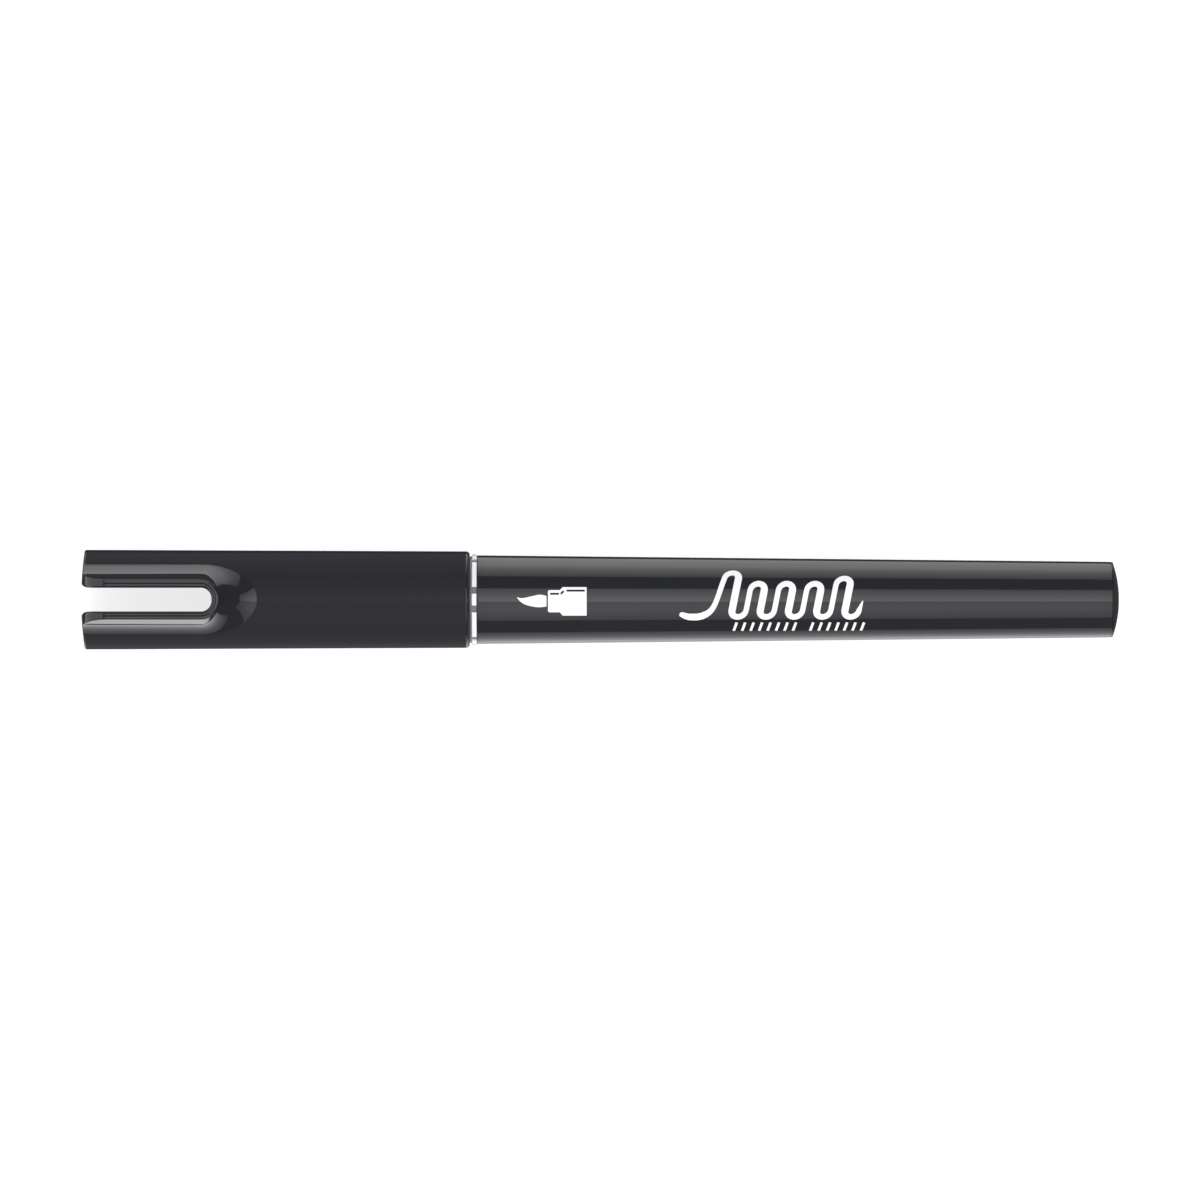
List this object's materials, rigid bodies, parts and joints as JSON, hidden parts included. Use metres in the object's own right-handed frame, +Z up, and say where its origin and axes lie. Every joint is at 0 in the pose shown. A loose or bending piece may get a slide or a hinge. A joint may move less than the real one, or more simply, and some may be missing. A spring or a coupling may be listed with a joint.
{
  "type": "capped brush pen",
  "caption": "Capped pen with a flexible brush-shaped fibre nib, a tapered barrel and a cap whose closed end is forked, with a raised ridge round the fork.",
  "frame": {"origin": "centre of the flat at the tail end of the barrel", "axes": "+X along the pen from the cap's closed end to the tail, +Z up through the cap's slot towards its raised ridge"},
  "size_m": [0.1399, 0.0134, 0.0166],
  "materials": {
    "cap_plastic": "satin, with a glossy ridge",
    "barrel_plastic": "polished",
    "white_plastic": "smooth",
    "liner_plastic": "natural, slightly cloudy",
    "nib_fibre": "ink-stained felt",
    "reservoir_fibre": "ink-soaked fibre bundle",
    "film": "thin wrapping film",
    "print_ink": "white pad print"
  },
  "bodies": {
    "pen": {"barrel": "barrel_plastic", "tail_plug": "barrel_plastic", "front_section": "white_plastic", "nib_bush": "liner_plastic", "nib_root": "nib_fibre", "reservoir_core": "reservoir_fibre", "reservoir_film": "film"},
    "inner_cap": {"cap_liner": "liner_plastic"},
    "cap": {"cap_shell": "cap_plastic"},
    "nib_point": {"nib_tip": "nib_fibre"}
  },
  "joints": [
    {"name": "cap_pull", "type": "slide", "parent": "pen", "child": "inner_cap", "axis": [-1, 0, 0], "range_m": [0, 0.045]},
    {"name": "cap_twist", "type": "hinge", "parent": "inner_cap", "child": "cap", "pos_m": [-0.11, 0, 0], "axis": [1, 0, 0], "continuous": true},
    {"name": "nib_bend", "type": "hinge", "parent": "pen", "child": "nib_point", "pos_m": [-0.106, 0, 0], "axis": [0, 0, 1], "range_deg": [-15, 15], "stiffness_Nm_per_rad": 0.01}
  ]
}
